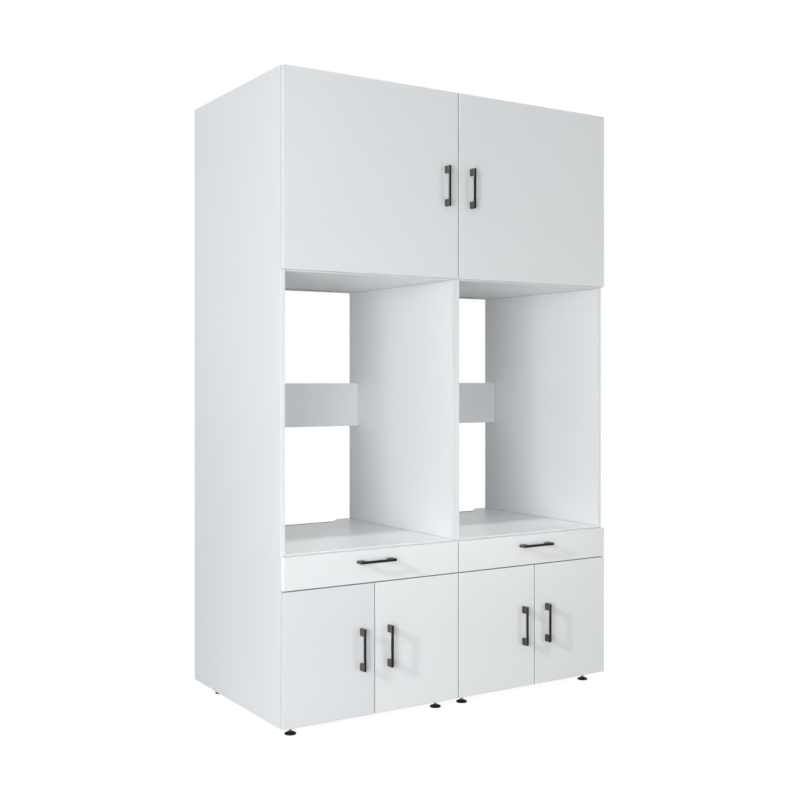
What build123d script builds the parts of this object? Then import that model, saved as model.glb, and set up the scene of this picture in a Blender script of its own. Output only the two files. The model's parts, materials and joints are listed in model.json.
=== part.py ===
# Double laundry cabinet: two tall towers side by side, each with an open bay for a
# washing machine or dryer, a cupboard above it, and a drawer and a pair of doors below it.
# Millimetres. +X is to the right seen from the front, the front faces -Y, +Z is up.
# The origin is on the floor, under the middle of the cabinet.
import os

from build123d import *

os.makedirs("parts", exist_ok=True)

# Driving dimensions of the towers
TOWER_WIDTH = 645.0
CARCASS_HEIGHT = 2008.0
CARCASS_DEPTH = 684.0
FOOT_HEIGHT = 32.0
PANEL = 16.0
BACK_SHEET = 3.0

# Heights above the underside of the carcass
BAY_FLOOR_TOP = 527.0
BAY_HEIGHT = 860.0
DIVIDER_MIDDLE = 417.5
RAIL_BOTTOM = 883.0
RAIL_HEIGHT = 160.0
SHELF_UNDERSIDE = 1685.0

# Doors and drawer fronts
FRONT_GAP = 2.0
SIDE_REVEAL = 1.5
END_REVEAL = 2.0
FRONT_SPACING = 3.0
UPPER_DOOR_OVERLAP = 12.0
DRAWER_FRONT_OVERLAP = 10.0
EDGE_CHAMFER = 0.8

# Bar handles
HANDLE_PROJECTION = 26.0
HANDLE_LENGTH = 132.0
HANDLE_WIDTH = 8.0
HANDLE_BAR_DEPTH = 5.0
HANDLE_POST_LENGTH = 23.0
HANDLE_CHAMFER = 0.7
HANDLE_INSET = 49.0
UPPER_HANDLE_HEIGHT = 301.0
LOWER_HANDLE_HEIGHT = 210.0
DRAWER_HANDLE_HEIGHT = 67.0

# Hose notch in the rear edge of the bay floor and of the bay ceiling
NOTCH_DEPTH = 75.0
NOTCH_REAR_WIDTH = 503.0
NOTCH_FRONT_WIDTH = 371.0
RAIL_SETBACK = 52.5

# Levelling feet
FOOT_INSET_SIDE = 53.5
FOOT_INSET_FRONT = 40.0
FOOT_INSET_REAR = 108.0
PAD_DIAMETER = 36.5
PAD_HEIGHT = 4.5
STUD_ACROSS_FLATS = 12.0
STUD_SIDES = 6

# Concealed hinges. In a hinge's own plane, u runs from the hinged edge of the door along
# the door, and v runs from the back face of the door into the cabinet. Places are (u, v).
ARM_PIVOT = (33.4, 1.2)
LINK_HIGH_KNEE = (32.2, -8.8)
LINK_LOW_KNEE = (13.4, -9.5)
LINK_CUP_END = (9.2, -6.9)
LINK_THICKNESS = 2.0
LINK_WIDTH = 7.0
LINK_HOOK_RADIUS = 2.9
LINK_HOOK_SIDES = 8
ARM_PIN_RADIUS = 1.6
PIN_CLEARANCE = 0.06
ARM_NOSE = ((30.0, 0.2), (34.4, -2.0), (37.6, 0.7), (37.6, 5.7))
ARM_BEND = (27.4, 16.2)
ARM_THROAT = (20.0, 17.0)
ARM_BACK_U = 25.4
ARM_WIDTH = 10.6
ARM_SLOT_WIDTH = 8.0
ARM_SLOT_U = (28.0, 40.0)
ARM_SLOT_V = (-4.0, 4.8)
PLATE_THICKNESS = 2.5
PLATE_V = (21.0, 63.0)
PLATE_WING_V = (33.0, 49.0)
PLATE_HEIGHT = 50.0
HINGE_END_DISTANCE = 100.0
CUP_CENTRE_U = 22.5
CUP_RADIUS = 17.5
CUP_DEPTH = 11.8
CUP_BOTTOM = 0.6
CUP_WALL = 0.8
CUP_FLANGE = 1.0
CUP_EAR_LENGTH = 58.0
CUP_EAR_WIDTH = 13.0
CUP_EAR_SHIFT = 9.5
CUP_FIT = 0.1

# Drawer box and its ball bearing slides
DRAWER_BOARD = 12.0
DRAWER_BOX_HEIGHT = 66.0
DRAWER_BOX_LENGTH = 520.0
DRAWER_BOX_LIFT = 8.5
DRAWER_BOTTOM_SHEET = 3.0
DRAWER_BOTTOM_LIFT = 8.0
DRAWER_GROOVE = 6.0
GROOVE_SPARE = 0.5
SLIDE_LENGTH = 500.0
SLIDE_WIDTH = 12.7
SLIDE_SETBACK = 4.0
SLIDE_METAL = 1.2
SLIDE_OUTER_HEIGHT = 35.0
SLIDE_MIDDLE_HEIGHT = 29.0
SLIDE_INNER_HEIGHT = 23.0
SLIDE_FLANGE = 8.2
SLIDE_MIDDLE_OFFSET = 2.4
SLIDE_MIDDLE_DEPTH = 8.4
SLIDE_INNER_DEPTH = 7.6

# Loose shelf and its supports
SHELF_SIDE_GAP = 1.0
SHELF_FRONT_SETBACK = 30.0
SUPPORT_HEIGHT = 7.0
SUPPORT_WIDTH = 10.0
SUPPORT_REACH = 8.0
SUPPORT_FRONT_DISTANCE = 67.0
SUPPORT_REAR_DISTANCE = 600.0

# Planes worked out from the driving dimensions
OVERALL_DEPTH = CARCASS_DEPTH + FRONT_GAP + PANEL + HANDLE_PROJECTION
REAR = OVERALL_DEPTH / 2
BACK_INNER = REAR - BACK_SHEET
FRONT_EDGE = REAR - CARCASS_DEPTH
DOOR_BACK = FRONT_EDGE - FRONT_GAP
DOOR_FACE = DOOR_BACK - PANEL
BASE = FOOT_HEIGHT
TOP = BASE + CARCASS_HEIGHT
FLOOR_TOP = BASE + BAY_FLOOR_TOP
CEILING_UNDERSIDE = FLOOR_TOP + BAY_HEIGHT
CEILING_TOP = CEILING_UNDERSIDE + PANEL
DIVIDER_UNDERSIDE = BASE + DIVIDER_MIDDLE - PANEL / 2
DIVIDER_TOP = DIVIDER_UNDERSIDE + PANEL
INNER_WIDTH = TOWER_WIDTH - 2 * PANEL
UPPER_DOOR_BOTTOM = CEILING_TOP - UPPER_DOOR_OVERLAP
UPPER_DOOR_TOP = TOP - END_REVEAL
DRAWER_FRONT_TOP = FLOOR_TOP - PANEL + DRAWER_FRONT_OVERLAP
DRAWER_FRONT_BOTTOM = BASE + DIVIDER_MIDDLE + FRONT_SPACING / 2
LOWER_DOOR_TOP = BASE + DIVIDER_MIDDLE - FRONT_SPACING / 2
LOWER_DOOR_BOTTOM = BASE + END_REVEAL
DRAWER_BOX_BOTTOM = DIVIDER_TOP + DRAWER_BOX_LIFT
SLIDE_MIDDLE_Z = DRAWER_BOX_BOTTOM + DRAWER_BOX_HEIGHT / 2
SHELF_BOTTOM = BASE + SHELF_UNDERSIDE

# The left outer face of each of the two towers, alone and with the tower's name
TOWER_LEFTS = (-TOWER_WIDTH, 0.0)
TOWERS = tuple(zip(("left", "right"), TOWER_LEFTS))


def save(piece, label):
    """Label a finished piece and write it under its own name."""
    piece.part.label = label
    export_step(piece.part, "parts/" + label + ".step")


def save_group(pieces, label):
    """Write several separate boards as one named group."""
    group = Compound(children=[solid for piece in pieces for solid in piece.part.solids()])
    group.label = label
    export_step(group, "parts/" + label + ".step")


def centred(low, high):
    """Middle and length of a stretch."""
    return (low + high) / 2, high - low


def add_block(x_span, y_span, z_span, mode=Mode.ADD):
    """Extrude one rectangular board, given by its three spans, in the open part."""
    x_middle, x_size = centred(*x_span)
    y_middle, y_size = centred(*y_span)
    with BuildSketch(Plane.XY.offset(z_span[0])) as outline:
        with Locations((x_middle, y_middle)):
            Rectangle(x_size, y_size)
    extrude(outline.sketch, amount=z_span[1] - z_span[0], mode=mode)


def inner_span(tower_left):
    """Clear width between the two sides of a tower."""
    return tower_left + PANEL, tower_left + PANEL + INNER_WIDTH


# Sides of the towers


def make_side(label, outer_x, inner_x):
    """A full height side with an eased front edge."""
    x_span = (min(outer_x, inner_x), max(outer_x, inner_x))
    with BuildPart() as side:
        add_block(x_span, (FRONT_EDGE, BACK_INNER), (BASE, TOP))
        front_edges = side.edges().filter_by(Axis.Z).group_by(Axis.Y)[0]
        chamfer(front_edges, EDGE_CHAMFER)
    save(side, label)


for tower, tower_left in TOWERS:
    tower_right = tower_left + TOWER_WIDTH
    make_side(tower + "_tower_left_side", tower_left, tower_left + PANEL)
    make_side(tower + "_tower_right_side", tower_right, tower_right - PANEL)


# Horizontal panels between the sides


def make_panel(label, tower_left, underside):
    """A plain horizontal panel with an eased front edge."""
    x_span = inner_span(tower_left)
    with BuildPart() as panel:
        add_block(x_span, (FRONT_EDGE, BACK_INNER), (underside, underside + PANEL))
        front_edges = panel.edges().filter_by(Axis.X).group_by(Axis.Y)[0]
        chamfer(front_edges, EDGE_CHAMFER)
    save(panel, label)


def make_notched_panel(label, tower_left, underside):
    """A horizontal panel whose rear edge has a wide notch with sloping ends for hoses."""
    x_span = inner_span(tower_left)
    x_middle, x_size = centred(*x_span)
    notch_front = BACK_INNER - NOTCH_DEPTH
    with BuildPart() as panel:
        with BuildSketch(Plane.XY.offset(underside)) as outline:
            with BuildLine():
                Polyline(
                    (x_span[0], FRONT_EDGE),
                    (x_span[1], FRONT_EDGE),
                    (x_span[1], BACK_INNER),
                    (x_middle + NOTCH_REAR_WIDTH / 2, BACK_INNER),
                    (x_middle + NOTCH_FRONT_WIDTH / 2, notch_front),
                    (x_middle - NOTCH_FRONT_WIDTH / 2, notch_front),
                    (x_middle - NOTCH_REAR_WIDTH / 2, BACK_INNER),
                    (x_span[0], BACK_INNER),
                    close=True,
                )
            make_face()
        extrude(outline.sketch, amount=PANEL)
        front_edges = panel.edges().filter_by(Axis.X).group_by(Axis.Y)[0]
        chamfer(front_edges, EDGE_CHAMFER)
    save(panel, label)


def foot_places(tower_left):
    """Centres of the four feet of a tower."""
    lefts = (tower_left + FOOT_INSET_SIDE, tower_left + TOWER_WIDTH - FOOT_INSET_SIDE)
    depths = (FRONT_EDGE + FOOT_INSET_FRONT, REAR - FOOT_INSET_REAR)
    return [(x, y) for x in lefts for y in depths]


for tower, tower_left in TOWERS:
    make_panel(tower + "_top_panel", tower_left, TOP - PANEL)
    make_notched_panel(tower + "_bay_ceiling", tower_left, CEILING_UNDERSIDE)
    make_notched_panel(tower + "_bay_floor", tower_left, FLOOR_TOP - PANEL)
    make_panel(tower + "_drawer_divider", tower_left, DIVIDER_UNDERSIDE)
    make_panel(tower + "_bottom_panel", tower_left, BASE)


# Back rails, back sheets and loose shelves

with BuildPart() as back_rails:
    for tower_left in TOWER_LEFTS:
        rail_back = BACK_INNER - RAIL_SETBACK
        rail_bottom = BASE + RAIL_BOTTOM
        add_block(
            inner_span(tower_left),
            (rail_back - PANEL, rail_back),
            (rail_bottom, rail_bottom + RAIL_HEIGHT),
        )
    rail_edges = back_rails.edges().filter_by(Axis.X)
    chamfer(rail_edges, EDGE_CHAMFER)
save(back_rails, "back_rails")


def make_back_sheets(label, bottom, top):
    """Thin sheets fixed on the rear edges of both towers."""
    with BuildPart() as sheets:
        for tower_left in TOWER_LEFTS:
            x_span = (tower_left + SIDE_REVEAL, tower_left + TOWER_WIDTH - SIDE_REVEAL)
            add_block(x_span, (BACK_INNER, REAR), (bottom, top))
    save(sheets, label)


make_back_sheets("upper_back_sheets", CEILING_UNDERSIDE, TOP - END_REVEAL)
make_back_sheets("lower_back_sheets", BASE + END_REVEAL, FLOOR_TOP - PANEL / 2)

with BuildPart() as shelves:
    for tower_left in TOWER_LEFTS:
        shelf_left, shelf_right = inner_span(tower_left)
        add_block(
            (shelf_left + SHELF_SIDE_GAP, shelf_right - SHELF_SIDE_GAP),
            (FRONT_EDGE + SHELF_FRONT_SETBACK, BACK_INNER - SHELF_SIDE_GAP),
            (SHELF_BOTTOM, SHELF_BOTTOM + PANEL),
        )
    shelf_edges = shelves.edges().filter_by(Axis.X).group_by(Axis.Y)[0]
    chamfer(shelf_edges, EDGE_CHAMFER)
save(shelves, "shelves")

with BuildPart() as shelf_supports:
    for tower_left in TOWER_LEFTS:
        for face_x, inward in zip(inner_span(tower_left), (1, -1)):
            for distance in (SUPPORT_FRONT_DISTANCE, SUPPORT_REAR_DISTANCE):
                add_block(
                    sorted((face_x, face_x + inward * SUPPORT_REACH)),
                    (FRONT_EDGE + distance, FRONT_EDGE + distance + SUPPORT_WIDTH),
                    (SHELF_BOTTOM - SUPPORT_HEIGHT, SHELF_BOTTOM),
                )
save(shelf_supports, "shelf_supports")


# Levelling feet

ALL_FEET = [place for tower_left in TOWER_LEFTS for place in foot_places(tower_left)]

with BuildPart() as foot_pads:
    with BuildSketch(Plane.XY) as discs:
        with Locations(*ALL_FEET):
            Circle(PAD_DIAMETER / 2)
    extrude(discs.sketch, amount=PAD_HEIGHT)
save(foot_pads, "foot_pads")

with BuildPart() as foot_studs:
    with BuildSketch(Plane.XY.offset(PAD_HEIGHT)) as spanner_flats:
        with Locations(*ALL_FEET):
            RegularPolygon(STUD_ACROSS_FLATS / 2, STUD_SIDES, major_radius=False)
    extrude(spanner_flats.sketch, amount=BASE - PAD_HEIGHT)
save(foot_studs, "foot_studs")


# Concealed hinges


def hinge_plane(edge_x, towards, height):
    """Plane of a hinge: its x is u, its y is v. The door runs along +X or -X from its edge."""
    return Plane(
        origin=(edge_x, DOOR_BACK, height),
        x_dir=(towards, 0, 0),
        z_dir=(0, 0, towards),
    )


def bent_strip(path, thickness):
    """Closed outline of a strip of even thickness along a bent line, mitred at its bends."""
    corners = [Vector(*place) for place in path]
    headings = [(end - start).normalized() for start, end in zip(corners, corners[1:])]
    headings = [headings[0], *headings, headings[-1]]
    outline = []
    for side in (1, -1):
        edge = []
        for corner, arriving, leaving in zip(corners, headings, headings[1:]):
            along = (arriving + leaving).normalized()
            across = Vector(-along.Y, along.X) * side
            edge.append(corner + across * thickness / 2 / along.dot(arriving))
        outline += edge[::side]
    return outline


def add_link(plane):
    """The dog-legged link: a hook round the arm's pin, then two knees, and its end in the cup."""
    mouth = 2 * (ARM_PIN_RADIUS + PIN_CLEARANCE)
    with BuildSketch(plane) as strip:
        with BuildLine():
            bends = (ARM_PIVOT, LINK_HIGH_KNEE, LINK_LOW_KNEE, LINK_CUP_END)
            Polyline(*bent_strip(bends, LINK_THICKNESS), close=True)
        make_face()
        with Locations(ARM_PIVOT):
            RegularPolygon(LINK_HOOK_RADIUS, LINK_HOOK_SIDES)
            RegularPolygon(mouth / 2, LINK_HOOK_SIDES, major_radius=False, mode=Mode.SUBTRACT)
            Rectangle(LINK_HOOK_RADIUS, mouth, align=(Align.MIN, Align.CENTER), mode=Mode.SUBTRACT)
    extrude(strip.sketch, amount=LINK_WIDTH / 2, both=True)


def add_rectangle(plane, u_span, v_span, half_width, mode=Mode.ADD):
    """Extrude a rectangle of a hinge's plane to both sides of that plane."""
    u_middle, u_size = centred(*u_span)
    v_middle, v_size = centred(*v_span)
    with BuildSketch(plane) as outline:
        with Locations((u_middle, v_middle)):
            Rectangle(u_size, v_size)
    extrude(outline.sketch, amount=half_width, both=True, mode=mode)


def make_arm(plane):
    """The fixed half of a hinge: a winged mounting plate, the slotted arm on it, and its pin."""
    side_face = PANEL - SIDE_REVEAL
    plate_face = side_face + PLATE_THICKNESS
    with BuildPart() as arm:
        with BuildSketch(plane) as body:
            with BuildLine():
                Polyline(
                    *ARM_NOSE,
                    ARM_BEND,
                    (ARM_BACK_U, PLATE_V[1]),
                    (plate_face, PLATE_V[1]),
                    (plate_face, PLATE_V[0]),
                    ARM_THROAT,
                    close=True,
                )
            make_face()
        extrude(body.sketch, amount=ARM_WIDTH / 2, both=True)
        add_rectangle(plane, ARM_SLOT_U, ARM_SLOT_V, ARM_SLOT_WIDTH / 2, mode=Mode.SUBTRACT)
        add_rectangle(plane, (side_face, plate_face), PLATE_V, ARM_WIDTH / 2)
        add_rectangle(plane, (side_face, plate_face), PLATE_WING_V, PLATE_HEIGHT / 2)
        with BuildSketch(plane) as pin:
            with Locations(ARM_PIVOT):
                Circle(ARM_PIN_RADIUS)
        extrude(pin.sketch, amount=ARM_WIDTH / 2, both=True)
    return arm


def cup_plane(plane):
    """Plane on the back face of a door, centred on a hinge's cup, facing into the cabinet."""
    centre = plane.from_local_coords((CUP_CENTRE_U, 0, 0))
    return Plane(origin=centre, x_dir=plane.x_dir, z_dir=(0, 1, 0))


def add_cup(plane):
    """A cup with its raised rim and its two ears, sunk in the back of a door."""
    mouth = cup_plane(plane)
    with BuildSketch(mouth) as flange:
        Circle(CUP_RADIUS)
        with Locations((CUP_EAR_SHIFT, 0)):
            Rectangle(CUP_EAR_WIDTH, CUP_EAR_LENGTH)
    extrude(flange.sketch, amount=CUP_FLANGE)
    with BuildSketch(mouth) as shell:
        Circle(CUP_RADIUS)
    extrude(shell.sketch, amount=-CUP_DEPTH)
    with BuildSketch(mouth.offset(CUP_FLANGE)) as bowl:
        Circle(CUP_RADIUS - CUP_WALL)
    extrude(bowl.sketch, amount=CUP_BOTTOM - CUP_DEPTH - CUP_FLANGE, mode=Mode.SUBTRACT)


def hinge_heights(bottom, top):
    """Heights of the two hinges of a door."""
    return bottom + HINGE_END_DISTANCE, top - HINGE_END_DISTANCE


# Doors, each with its name, its hinged edge, the way it runs from there, its width and its ends

FULL_WIDTH = TOWER_WIDTH - 2 * SIDE_REVEAL
HALF_WIDTH = (FULL_WIDTH - FRONT_SPACING) / 2
UPPER_SPAN = (UPPER_DOOR_BOTTOM, UPPER_DOOR_TOP)
LOWER_SPAN = (LOWER_DOOR_BOTTOM, LOWER_DOOR_TOP)
OUTER_EDGE = TOWER_WIDTH - SIDE_REVEAL
DOORS = (
    ("left_upper_door", -OUTER_EDGE, 1, FULL_WIDTH, UPPER_SPAN),
    ("right_upper_door", OUTER_EDGE, -1, FULL_WIDTH, UPPER_SPAN),
    ("left_outer_door", -OUTER_EDGE, 1, HALF_WIDTH, LOWER_SPAN),
    ("left_inner_door", -SIDE_REVEAL, -1, HALF_WIDTH, LOWER_SPAN),
    ("right_inner_door", SIDE_REVEAL, 1, HALF_WIDTH, LOWER_SPAN),
    ("right_outer_door", OUTER_EDGE, -1, HALF_WIDTH, LOWER_SPAN),
)


def make_handle(label, middle, upright):
    """A bar handle with a block post at each end, on the front plane and eased in front."""
    long_way = Vector(0, 0, 1) if upright else Vector(-1, 0, 0)
    across = Vector(1, 0, 0) if upright else Vector(0, 0, 1)
    section = Plane(origin=middle - across * HANDLE_WIDTH / 2, x_dir=long_way, z_dir=across)
    half = HANDLE_LENGTH / 2
    post_end = half - HANDLE_POST_LENGTH
    forward = -section.y_dir.Y
    front = HANDLE_PROJECTION * forward
    bar_back = (HANDLE_PROJECTION - HANDLE_BAR_DEPTH) * forward
    with BuildPart() as handle:
        with BuildSketch(section) as profile:
            with BuildLine():
                Polyline(
                    (-half, 0),
                    (-half, front),
                    (half, front),
                    (half, 0),
                    (post_end, 0),
                    (post_end, bar_back),
                    (-post_end, bar_back),
                    (-post_end, 0),
                    close=True,
                )
            make_face()
        extrude(profile.sketch, amount=HANDLE_WIDTH)
        front_face = handle.faces().sort_by(Axis.Y)[0]
        chamfer(front_face.edges(), HANDLE_CHAMFER)
    save(handle, label)


def make_door(label, edge_x, towards, width, z_span):
    """A door with its cup bores, its handle, its cups, and the links of its hinges."""
    far_x = edge_x + towards * width
    x_span = (min(edge_x, far_x), max(edge_x, far_x))
    planes = [hinge_plane(edge_x, towards, height) for height in hinge_heights(*z_span)]
    with BuildPart() as panel:
        add_block(x_span, (DOOR_FACE, DOOR_BACK), z_span)
        chamfer(panel.edges(), EDGE_CHAMFER)
        for plane in planes:
            with BuildSketch(cup_plane(plane)) as bore:
                Circle(CUP_RADIUS + CUP_FIT)
            extrude(bore.sketch, amount=-CUP_DEPTH, mode=Mode.SUBTRACT)
    save(panel, label + "_panel")

    with BuildPart() as cups:
        for plane in planes:
            add_cup(plane)
    save(cups, label + "_cups")

    with BuildPart() as links:
        for plane in planes:
            add_link(plane)
    save(links, label + "_links")

    handle_height = UPPER_HANDLE_HEIGHT if z_span == UPPER_SPAN else LOWER_HANDLE_HEIGHT
    handle_middle = Vector(far_x - towards * HANDLE_INSET, DOOR_FACE, z_span[0] + handle_height)
    make_handle(label + "_handle", handle_middle, upright=True)


for door in DOORS:
    make_door(*door)

hinge_arms = [
    make_arm(hinge_plane(edge_x, towards, height))
    for label, edge_x, towards, width, z_span in DOORS
    for height in hinge_heights(*z_span)
]
save_group(hinge_arms, "hinge_arms")


# Drawers and their slides


def add_channel(wall_x, inward, web_offset, depth, height):
    """One slide member: a channel whose web stands off the wall and whose flanges point inward."""
    web = wall_x + inward * web_offset
    tip = web + inward * depth
    half = height / 2
    profile_plane = Plane.XZ.offset(-(FRONT_EDGE + SLIDE_SETBACK))
    inner = web + inward * SLIDE_METAL if depth > 0 else web - inward * SLIDE_METAL
    with BuildSketch(profile_plane) as channel:
        with BuildLine():
            Polyline(
                (web, SLIDE_MIDDLE_Z - half),
                (tip, SLIDE_MIDDLE_Z - half),
                (tip, SLIDE_MIDDLE_Z - half + SLIDE_METAL),
                (inner, SLIDE_MIDDLE_Z - half + SLIDE_METAL),
                (inner, SLIDE_MIDDLE_Z + half - SLIDE_METAL),
                (tip, SLIDE_MIDDLE_Z + half - SLIDE_METAL),
                (tip, SLIDE_MIDDLE_Z + half),
                (web, SLIDE_MIDDLE_Z + half),
                close=True,
            )
        make_face()
    extrude(channel.sketch, amount=-SLIDE_LENGTH)


def slide_walls(tower_left):
    """The two side faces that carry a drawer's slides, each with the way into the tower."""
    return tuple(zip(inner_span(tower_left), (1, -1)))


with BuildPart() as cabinet_slides:
    for tower_left in TOWER_LEFTS:
        for wall_x, inward in slide_walls(tower_left):
            add_channel(wall_x, inward, 0, SLIDE_FLANGE, SLIDE_OUTER_HEIGHT)
save(cabinet_slides, "cabinet_slides")


def make_drawer(tower, tower_left):
    """A drawer: its front, box boards, bottom sheet, handle, and slide members."""
    left, right = inner_span(tower_left)
    box_left = left + SLIDE_WIDTH
    box_right = right - SLIDE_WIDTH
    board_left = box_left + DRAWER_BOARD
    board_right = box_right - DRAWER_BOARD
    box_back = DOOR_BACK + DRAWER_BOX_LENGTH
    sheet_bottom = DRAWER_BOX_BOTTOM + DRAWER_BOTTOM_LIFT
    sheet_top = sheet_bottom + DRAWER_BOTTOM_SHEET
    box_top = DRAWER_BOX_BOTTOM + DRAWER_BOX_HEIGHT
    groove_left = board_left - DRAWER_GROOVE
    groove_right = board_right + DRAWER_GROOVE
    front_x = (tower_left + SIDE_REVEAL, tower_left + TOWER_WIDTH - SIDE_REVEAL)
    front_z = (DRAWER_FRONT_BOTTOM, DRAWER_FRONT_TOP)

    with BuildPart() as front:
        add_block(front_x, (DOOR_FACE, DOOR_BACK), front_z)
        chamfer(front.edges(), EDGE_CHAMFER)
        add_block(
            (board_left, board_right),
            (DOOR_BACK - DRAWER_GROOVE, DOOR_BACK),
            (sheet_bottom, sheet_top),
            mode=Mode.SUBTRACT,
        )
    save(front, tower + "_drawer_front")

    with BuildPart() as sides:
        for board_span in ((box_left, board_left), (board_right, box_right)):
            add_block(board_span, (DOOR_BACK, box_back), (DRAWER_BOX_BOTTOM, box_top))
        add_block(
            (groove_left, groove_right),
            (DOOR_BACK, box_back),
            (sheet_bottom, sheet_top),
            mode=Mode.SUBTRACT,
        )
    with BuildPart() as back:
        add_block((board_left, board_right), (box_back - DRAWER_BOARD, box_back), (sheet_top, box_top))
    save_group((sides, back), tower + "_drawer_boards")

    with BuildPart() as bottom:
        add_block(
            (groove_left + GROOVE_SPARE, groove_right - GROOVE_SPARE),
            (DOOR_BACK, box_back - GROOVE_SPARE),
            (sheet_bottom, sheet_top),
        )
        add_block(
            (board_left + GROOVE_SPARE, board_right - GROOVE_SPARE),
            (DOOR_BACK - DRAWER_GROOVE + GROOVE_SPARE, DOOR_BACK),
            (sheet_bottom, sheet_top),
        )
    save(bottom, tower + "_drawer_bottom")

    with BuildPart() as drawer_slides:
        for wall_x, inward in slide_walls(tower_left):
            add_channel(wall_x, inward, SLIDE_WIDTH, -SLIDE_INNER_DEPTH, SLIDE_INNER_HEIGHT)
    save(drawer_slides, tower + "_drawer_slides")

    with BuildPart() as middle_slides:
        for wall_x, inward in slide_walls(tower_left):
            add_channel(wall_x, inward, SLIDE_MIDDLE_OFFSET, SLIDE_MIDDLE_DEPTH, SLIDE_MIDDLE_HEIGHT)
    save(middle_slides, tower + "_middle_slides")

    handle_height = DRAWER_FRONT_BOTTOM + DRAWER_HANDLE_HEIGHT
    handle_middle = Vector(tower_left + TOWER_WIDTH / 2, DOOR_FACE, handle_height)
    make_handle(tower + "_drawer_handle", handle_middle, upright=False)


for tower, tower_left in TOWERS:
    make_drawer(tower, tower_left)
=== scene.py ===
import json
import math

import bmesh
import bpy
from mathutils import Matrix, Vector

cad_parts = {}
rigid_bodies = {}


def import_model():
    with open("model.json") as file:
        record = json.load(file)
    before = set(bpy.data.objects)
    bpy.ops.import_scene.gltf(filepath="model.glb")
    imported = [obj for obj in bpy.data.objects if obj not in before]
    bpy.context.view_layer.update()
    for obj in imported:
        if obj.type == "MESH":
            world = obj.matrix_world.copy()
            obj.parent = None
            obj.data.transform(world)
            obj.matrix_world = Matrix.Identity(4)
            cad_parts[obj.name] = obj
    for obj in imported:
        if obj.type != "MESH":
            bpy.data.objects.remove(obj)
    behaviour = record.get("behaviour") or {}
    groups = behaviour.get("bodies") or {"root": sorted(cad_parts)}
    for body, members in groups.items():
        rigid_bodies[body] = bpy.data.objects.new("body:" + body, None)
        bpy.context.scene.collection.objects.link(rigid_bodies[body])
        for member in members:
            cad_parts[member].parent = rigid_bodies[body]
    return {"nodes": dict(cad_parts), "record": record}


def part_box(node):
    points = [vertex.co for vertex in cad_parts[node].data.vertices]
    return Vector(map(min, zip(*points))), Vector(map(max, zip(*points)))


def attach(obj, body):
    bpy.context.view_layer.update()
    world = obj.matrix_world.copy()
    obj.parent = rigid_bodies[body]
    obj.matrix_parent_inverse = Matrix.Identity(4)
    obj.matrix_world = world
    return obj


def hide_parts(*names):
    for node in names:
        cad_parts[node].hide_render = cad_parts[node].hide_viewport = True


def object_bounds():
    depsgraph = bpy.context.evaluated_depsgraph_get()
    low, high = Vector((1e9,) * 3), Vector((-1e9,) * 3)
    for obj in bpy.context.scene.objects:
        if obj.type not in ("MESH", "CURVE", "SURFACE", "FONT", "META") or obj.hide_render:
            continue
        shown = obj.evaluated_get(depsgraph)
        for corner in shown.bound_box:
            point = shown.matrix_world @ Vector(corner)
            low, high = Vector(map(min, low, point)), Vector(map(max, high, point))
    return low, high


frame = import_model()
NODES = frame["nodes"]
RECORD = frame["record"]
BODIES = RECORD["behaviour"]["bodies"]
BODY_OF = {node: body for body, members in BODIES.items() for node in members}
cad_low, cad_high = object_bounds()

MM = 0.001
ACROSS = Vector((1.0, 0.0, 0.0))
INTO = Vector((0.0, 1.0, 0.0))
UP = Vector((0.0, 0.0, 1.0))
TINY = 1e-6

# Camera, as the photograph was taken
PICTURE_SIDE = 800
SENSOR = 36.0
LENS = 50.75
CAMERA_PLACE = Vector((-2.1588, -3.3902, 1.0910))
CAMERA_YAW = math.radians(32.30)
HORIZON_ROW = 379

# Light
SKY_COLOUR = (0.93, 0.97, 1.0)
SKY_GLOWS = (((0.0, 0.0, 1.0), 0.42), ((-1.0, -1.0, 0.0), 0.96))
WHITE_LIGHT = (1.0, 1.0, 1.0)
WARM_LIGHT = (1.0, 0.985, 0.96)
COOL_LIGHT = (0.965, 0.985, 1.0)
BLUE_LIGHT = (0.80, 0.91, 1.0)

# Planes of the cabinet
FLOOR_Z = 0.0
door_low, door_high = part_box("left_upper_door_panel")
DOOR_FACE = door_low.y
DOOR_BACK = door_high.y
side_low, side_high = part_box("left_tower_left_side")
FRONT_EDGE = side_low.y
BACK_EDGE = side_high.y
BASE = side_low.z
TOP = side_high.z
BOARD = side_high.x - side_low.x
DOORS = [name for name in BODIES if name.endswith("_door")]
TOWERS = ("left", "right")


# Studio


def make_camera():
    """A level camera, with the small shift that puts the horizon where the photograph has it."""
    data = bpy.data.cameras.new("camera")
    data.sensor_width = SENSOR
    data.lens = LENS
    data.shift_y = (HORIZON_ROW - PICTURE_SIDE / 2) / PICTURE_SIDE
    camera = bpy.data.objects.new("camera", data)
    bpy.context.scene.collection.objects.link(camera)
    camera.location = CAMERA_PLACE
    camera.rotation_euler = (math.pi / 2, 0.0, -CAMERA_YAW)
    bpy.context.scene.camera = camera


def node(tree, kind, **inputs):
    """Add a shader node and set its inputs by name; spaces are written as underscores."""
    made = tree.nodes.new(kind)
    for name, value in inputs.items():
        made.inputs[name.replace("_", " ")].default_value = value
    return made


def calculate(tree, operation, first, second):
    """A maths node on two values, each a number or a socket."""
    made = node(tree, "ShaderNodeMath")
    made.operation = operation
    for socket, value in zip(made.inputs, (first, second)):
        if isinstance(value, (int, float)):
            socket.default_value = value
        else:
            tree.links.new(value, socket)
    return made.outputs[0]


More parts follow.
